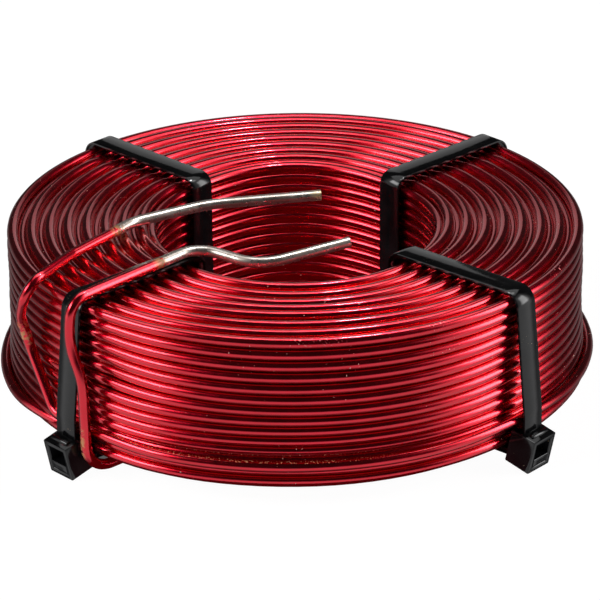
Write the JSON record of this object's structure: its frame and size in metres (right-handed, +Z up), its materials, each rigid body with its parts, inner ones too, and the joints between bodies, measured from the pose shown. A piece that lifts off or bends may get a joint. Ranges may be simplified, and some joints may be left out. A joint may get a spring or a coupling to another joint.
{
  "type": "crossover coil",
  "caption": "Air-core inductor for a loudspeaker crossover: enamelled copper wire wound in packed layers, tied with nylon cable ties, with tinned wire leads.",
  "frame": {"origin": "on the coil's axis, in the plane of the surface it stands on with its four tie heads as feet", "axes": "+Z up along the coil's axis; -Y the front, where both leads come up beside the front left tie; +X to the right seen from the front"},
  "size_m": [0.0952, 0.095, 0.0313],
  "materials": {
    "red_enamel": "clear red enamel over drawn copper, glossy",
    "solder": "hand-tinned solder, bright and slightly lumpy",
    "black_nylon": "moulded black nylon, satin"
  },
  "bodies": {
    "root": {"magnet_wire": "red_enamel", "lead_tinning_finish": "solder", "lead_tinning_start": "solder", "cable_tie_front_left": "black_nylon", "cable_tie_front_right": "black_nylon", "cable_tie_back_right": "black_nylon", "cable_tie_back_left": "black_nylon"}
  },
  "joints": []
}
